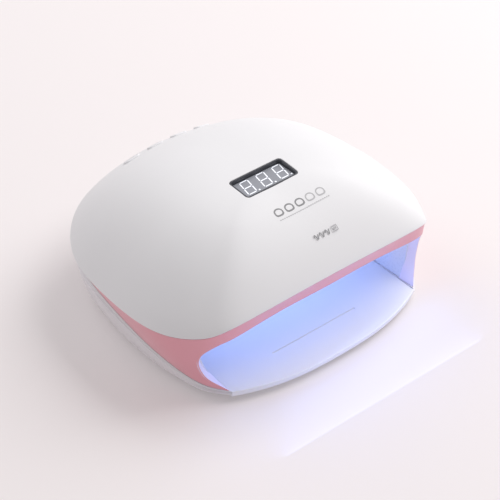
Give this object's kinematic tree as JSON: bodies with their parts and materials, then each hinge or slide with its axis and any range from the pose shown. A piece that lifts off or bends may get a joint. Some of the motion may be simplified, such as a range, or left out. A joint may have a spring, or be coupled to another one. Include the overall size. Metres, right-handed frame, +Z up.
{
  "type": "uv_led_nail_lamp",
  "caption": "Domed white and pink UV LED nail lamp with a wide hand opening, a time display, rear timer buttons and a slide-out floor tray",
  "frame": {"origin": "middle of the bounding box's footprint, at the bottom of the feet", "axes": "+X to the right seen from the hand opening, +Y from the opening to the rear wall, +Z up"},
  "size_m": [0.2304, 0.2144, 0.1055],
  "materials": {
    "white_abs": "satin injection moulded ABS",
    "pink_abs": "pink painted ABS, satin",
    "liner_white": "bright reflective plastic lining",
    "circuit_board": "solder mask over glass epoxy",
    "black_plastic": "moulded black plastic",
    "display_grey": "slate grey display face",
    "led_lens": "clear moulded lens",
    "zinc_steel": "zinc plated steel",
    "foot_rubber": "soft black rubber"
  },
  "bodies": {
    "lamp_body": {"top_cover": "white_abs", "display_bezel": "black_plastic", "display_module": "display_grey", "display_face": "display_grey", "display_board": "circuit_board", "tact_switch_1": "zinc_steel", "tact_switch_2": "zinc_steel", "tact_switch_3": "zinc_steel", "tact_switch_4": "zinc_steel", "button_board": "circuit_board", "main_board": "circuit_board", "controller_chip": "black_plastic", "electrolytic_capacitor": "black_plastic", "power_inductor": "black_plastic", "buzzer": "black_plastic", "presence_sensor": "black_plastic", "dc_jack": "black_plastic", "chamber_liner": "liner_white", "led_board_left": "circuit_board", "led_board_right": "circuit_board", "led_board_top": "circuit_board", "led_left_1": "led_lens", "led_right_1": "led_lens", "led_left_2": "led_lens", "led_right_2": "led_lens", "led_left_3": "led_lens", "led_right_3": "led_lens", "led_left_4": "led_lens", "led_right_4": "led_lens", "led_top_1": "led_lens", "led_top_2": "led_lens", "led_top_3": "led_lens", "led_top_4": "led_lens", "led_top_5": "led_lens", "led_top_6": "led_lens", "led_top_7": "led_lens", "led_top_8": "led_lens", "led_top_9": "led_lens", "led_top_10": "led_lens", "led_top_11": "led_lens", "led_top_12": "led_lens", "side_frame": "pink_abs", "base_shell": "white_abs", "foot_1": "foot_rubber", "base_screw_1": "zinc_steel", "foot_2": "foot_rubber", "base_screw_2": "zinc_steel", "foot_3": "foot_rubber", "base_screw_3": "zinc_steel", "foot_4": "foot_rubber", "base_screw_4": "zinc_steel"},
    "button_body_1": {"timer_button_1": "white_abs", "switch_plunger_1": "black_plastic"},
    "button_body_2": {"timer_button_2": "white_abs", "switch_plunger_2": "black_plastic"},
    "button_body_3": {"timer_button_3": "white_abs", "switch_plunger_3": "black_plastic"},
    "button_body_4": {"timer_button_4": "white_abs", "switch_plunger_4": "black_plastic"},
    "tray_body": {"tray": "white_abs"}
  },
  "joints": [
    {"name": "timer_button_1_press", "type": "slide", "parent": "lamp_body", "child": "button_body_1", "axis": [0.1419, -0.6041, -0.7842], "range_m": [0, 0.0006], "stiffness_N_per_m": 1200},
    {"name": "timer_button_2_press", "type": "slide", "parent": "lamp_body", "child": "button_body_2", "axis": [0.048, -0.5904, -0.8057], "range_m": [0, 0.0006], "stiffness_N_per_m": 1200},
    {"name": "timer_button_3_press", "type": "slide", "parent": "lamp_body", "child": "button_body_3", "axis": [-0.048, -0.5904, -0.8057], "range_m": [0, 0.0006], "stiffness_N_per_m": 1200},
    {"name": "timer_button_4_press", "type": "slide", "parent": "lamp_body", "child": "button_body_4", "axis": [-0.1419, -0.6041, -0.7842], "range_m": [0, 0.0006], "stiffness_N_per_m": 1200},
    {"name": "tray_slide", "type": "slide", "parent": "lamp_body", "child": "tray_body", "axis": [0, -1, 0], "range_m": [0, 0.14]}
  ]
}
